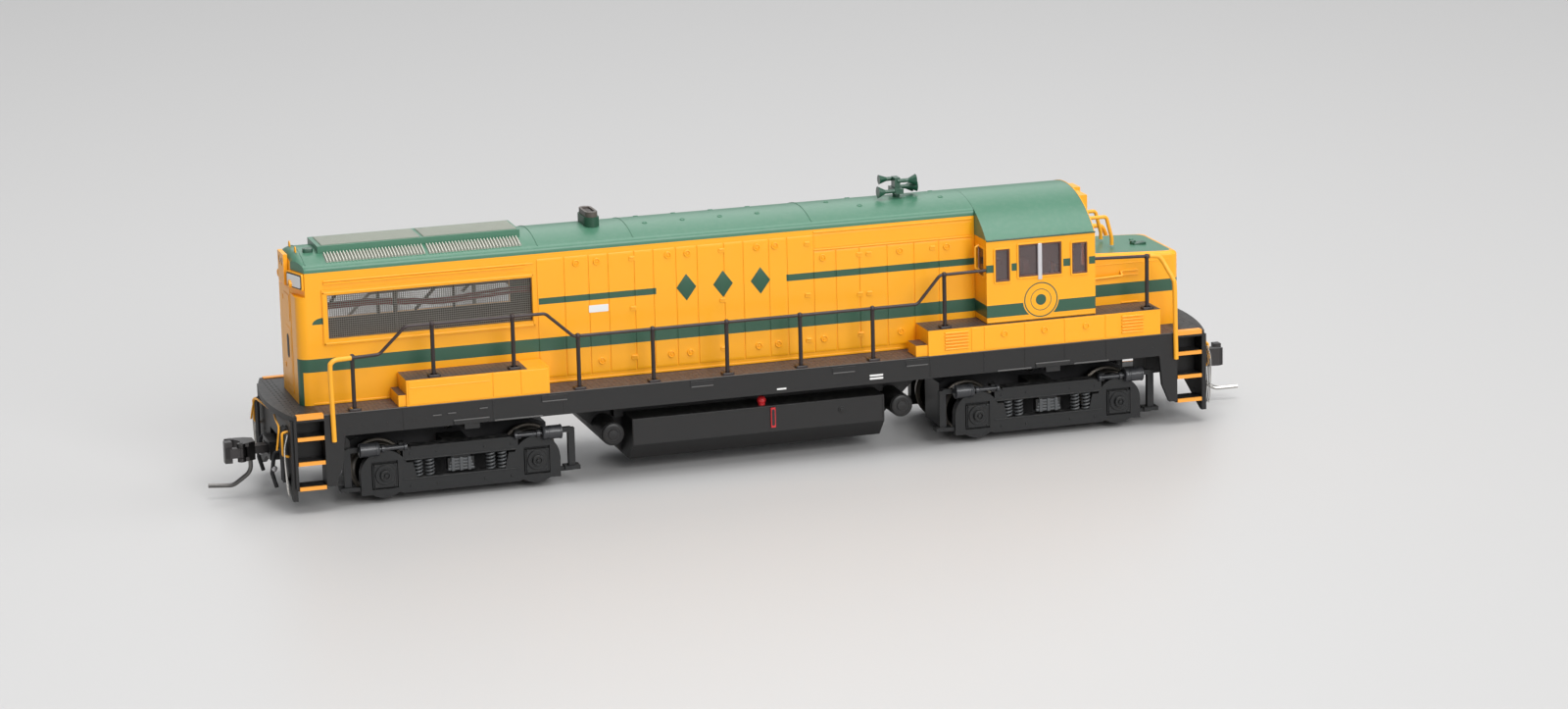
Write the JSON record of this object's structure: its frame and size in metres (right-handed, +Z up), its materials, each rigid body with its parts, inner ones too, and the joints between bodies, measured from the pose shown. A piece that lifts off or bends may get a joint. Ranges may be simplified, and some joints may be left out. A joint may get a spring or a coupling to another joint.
{
  "type": "model diesel locomotive",
  "caption": "Four-axle low-nose model diesel locomotive with long hood, cab, swivelling geared trucks, centre motor with flywheels and sprung knuckle couplers.",
  "frame": {"origin": "bottom centre, on the surface that the wheel flanges stand on", "axes": "+X towards the cab end, +Z up, the right-hand side is -Y"},
  "size_m": [0.2234, 0.0374, 0.055],
  "materials": {
    "shell_paint": "satin paint on moulded plastic",
    "roof_green": "satin paint on moulded plastic",
    "chassis_metal": "blackened zinc casting",
    "frame_black": "matt black moulded plastic",
    "truck_black": "matt dark grey moulded plastic",
    "step_yellow": "satin paint",
    "rail_dark": "painted wire",
    "screen_metal": "fine etched mesh",
    "glazing": "clear moulded glazing",
    "red_paint": "gloss paint",
    "wheel_metal": "blackened nickel silver with bright treads",
    "gear_plastic": "natural acetal",
    "worm_metal": "turned brass",
    "bearing_bronze": "sintered bronze",
    "motor_steel": "plated steel",
    "armature": "laminated steel with windings",
    "magnet": "sintered ferrite",
    "flywheel_brass": "turned brass",
    "shaft_steel": "ground steel",
    "coupler_metal": "blackened cast metal",
    "pin_steel": "steel wire",
    "hose_black": "moulded hose",
    "grab_yellow": "painted wire",
    "circuit_green": "lacquered circuit board",
    "lead_red": "insulated wire",
    "screw_steel": "blackened screw",
    "lens_clear": "clear lens"
  },
  "bodies": {
    "root": {"chassis": "chassis_metal", "fuel_tank": "frame_black", "air_reservoirs": "frame_black", "fuel_fittings": "red_paint", "walkway": "frame_black", "step_nosings": "step_yellow", "long_hood": "shell_paint", "radiator_screens": "screen_metal", "radiator_roof_grilles": "screen_metal", "cab": "shell_paint", "cab_glazing": "glazing", "nose": "shell_paint", "side_boxes_left": "shell_paint", "side_boxes_right": "shell_paint", "handrail_left": "rail_dark", "handrail_right": "rail_dark", "exhaust_stack": "roof_green", "horn": "roof_green", "headlight_housings": "shell_paint", "headlight_lenses": "lens_clear", "grab_irons": "grab_yellow", "pilot_hoses": "hose_black", "coupler_boxes": "frame_black", "motor_housing": "motor_steel", "motor_magnets": "magnet", "circuit_board": "circuit_green", "lamp_leads": "lead_red", "shell_screws": "screw_steel"},
    "rotor": {"motor_armature": "armature", "motor_shaft": "shaft_steel", "flywheels": "flywheel_brass", "drive_shafts": "gear_plastic"},
    "front_truck": {"front_gearbox": "truck_black", "front_gearbox_cover": "truck_black", "front_sideframes": "truck_black", "front_axle_bearings": "bearing_bronze"},
    "front_worm": {"front_worm": "worm_metal"},
    "front_worm_wheel": {"front_worm_wheel": "gear_plastic"},
    "front_idler_inner": {"front_idler_inner": "gear_plastic"},
    "front_wheelset_inner": {"front_wheelset_inner": "wheel_metal"},
    "front_idler_outer": {"front_idler_outer": "gear_plastic"},
    "front_wheelset_outer": {"front_wheelset_outer": "wheel_metal"},
    "front_coupler": {"front_coupler": "coupler_metal", "front_trip_pin": "pin_steel"},
    "front_knuckle": {"front_knuckle": "coupler_metal"},
    "rear_truck": {"rear_gearbox": "truck_black", "rear_gearbox_cover": "truck_black", "rear_sideframes": "truck_black", "rear_axle_bearings": "bearing_bronze"},
    "rear_worm": {"rear_worm": "worm_metal"},
    "rear_worm_wheel": {"rear_worm_wheel": "gear_plastic"},
    "rear_idler_inner": {"rear_idler_inner": "gear_plastic"},
    "rear_wheelset_inner": {"rear_wheelset_inner": "wheel_metal"},
    "rear_idler_outer": {"rear_idler_outer": "gear_plastic"},
    "rear_wheelset_outer": {"rear_wheelset_outer": "wheel_metal"},
    "rear_coupler": {"rear_coupler": "coupler_metal", "rear_trip_pin": "pin_steel"},
    "rear_knuckle": {"rear_knuckle": "coupler_metal"}
  },
  "joints": [
    {"name": "motor_spin", "type": "hinge", "parent": "root", "child": "rotor", "pos_m": [0, 0, 0.02113], "axis": [1, 0, 0], "continuous": true},
    {"name": "front_truck_swivel", "type": "hinge", "parent": "root", "child": "front_truck", "pos_m": [0.063, 0, 0.0173], "axis": [0, 0, 1], "range_deg": [-8, 8]},
    {"name": "front_worm_spin", "type": "hinge", "parent": "front_truck", "child": "front_worm", "pos_m": [0.063, 0, 0.02113], "axis": [1, 0, 0], "continuous": true},
    {"name": "front_worm_wheel_spin", "type": "hinge", "parent": "front_truck", "child": "front_worm_wheel", "pos_m": [0.063, 0, 0.01233], "axis": [0, 1, 0], "continuous": true},
    {"name": "front_idler_inner_spin", "type": "hinge", "parent": "front_truck", "child": "front_idler_inner", "pos_m": [0.0539, 0, 0.00818], "axis": [0, 1, 0], "continuous": true},
    {"name": "front_wheelset_inner_spin", "type": "hinge", "parent": "front_truck", "child": "front_wheelset_inner", "pos_m": [0.0473, 0, 0.00585], "axis": [0, 1, 0], "continuous": true},
    {"name": "front_idler_outer_spin", "type": "hinge", "parent": "front_truck", "child": "front_idler_outer", "pos_m": [0.0721, 0, 0.00818], "axis": [0, 1, 0], "continuous": true},
    {"name": "front_wheelset_outer_spin", "type": "hinge", "parent": "front_truck", "child": "front_wheelset_outer", "pos_m": [0.0787, 0, 0.00585], "axis": [0, 1, 0], "continuous": true},
    {"name": "front_coupler_swing", "type": "hinge", "parent": "root", "child": "front_coupler", "pos_m": [0.0925, 0, 0.0099], "axis": [0, 0, 1], "range_deg": [-8, 8], "stiffness_Nm_per_rad": 0.0002},
    {"name": "front_knuckle_open", "type": "hinge", "parent": "front_coupler", "child": "front_knuckle", "pos_m": [0.1051, 0.0022, 0.0099], "axis": [0, 0, 1], "range_deg": [0, 18], "stiffness_Nm_per_rad": 0.0001},
    {"name": "rear_truck_swivel", "type": "hinge", "parent": "root", "child": "rear_truck", "pos_m": [-0.063, 0, 0.0173], "axis": [0, 0, 1], "range_deg": [-8, 8]},
    {"name": "rear_worm_spin", "type": "hinge", "parent": "rear_truck", "child": "rear_worm", "pos_m": [-0.063, 0, 0.02113], "axis": [1, 0, 0], "continuous": true},
    {"name": "rear_worm_wheel_spin", "type": "hinge", "parent": "rear_truck", "child": "rear_worm_wheel", "pos_m": [-0.063, 0, 0.01233], "axis": [0, 1, 0], "continuous": true},
    {"name": "rear_idler_inner_spin", "type": "hinge", "parent": "rear_truck", "child": "rear_idler_inner", "pos_m": [-0.0539, 0, 0.00818], "axis": [0, 1, 0], "continuous": true},
    {"name": "rear_wheelset_inner_spin", "type": "hinge", "parent": "rear_truck", "child": "rear_wheelset_inner", "pos_m": [-0.0473, 0, 0.00585], "axis": [0, 1, 0], "continuous": true},
    {"name": "rear_idler_outer_spin", "type": "hinge", "parent": "rear_truck", "child": "rear_idler_outer", "pos_m": [-0.0721, 0, 0.00818], "axis": [0, 1, 0], "continuous": true},
    {"name": "rear_wheelset_outer_spin", "type": "hinge", "parent": "rear_truck", "child": "rear_wheelset_outer", "pos_m": [-0.0787, 0, 0.00585], "axis": [0, 1, 0], "continuous": true},
    {"name": "rear_coupler_swing", "type": "hinge", "parent": "root", "child": "rear_coupler", "pos_m": [-0.0925, 0, 0.0099], "axis": [0, 0, 1], "range_deg": [-8, 8], "stiffness_Nm_per_rad": 0.0002},
    {"name": "rear_knuckle_open", "type": "hinge", "parent": "rear_coupler", "child": "rear_knuckle", "pos_m": [-0.1051, -0.0022, 0.0099], "axis": [0, 0, 1], "range_deg": [0, 18], "stiffness_Nm_per_rad": 0.0001}
  ],
  "couplings": [
    {"joint": "front_worm_spin", "follows": "motor_spin", "ratio": 1},
    {"joint": "front_worm_wheel_spin", "follows": "motor_spin", "ratio": -0.038462},
    {"joint": "front_idler_inner_spin", "follows": "motor_spin", "ratio": 0.071429},
    {"joint": "front_wheelset_inner_spin", "follows": "motor_spin", "ratio": -0.071429},
    {"joint": "front_idler_outer_spin", "follows": "motor_spin", "ratio": 0.071429},
    {"joint": "front_wheelset_outer_spin", "follows": "motor_spin", "ratio": -0.071429},
    {"joint": "rear_worm_spin", "follows": "motor_spin", "ratio": 1},
    {"joint": "rear_worm_wheel_spin", "follows": "motor_spin", "ratio": -0.038462},
    {"joint": "rear_idler_inner_spin", "follows": "motor_spin", "ratio": 0.071429},
    {"joint": "rear_wheelset_inner_spin", "follows": "motor_spin", "ratio": -0.071429},
    {"joint": "rear_idler_outer_spin", "follows": "motor_spin", "ratio": 0.071429},
    {"joint": "rear_wheelset_outer_spin", "follows": "motor_spin", "ratio": -0.071429}
  ]
}
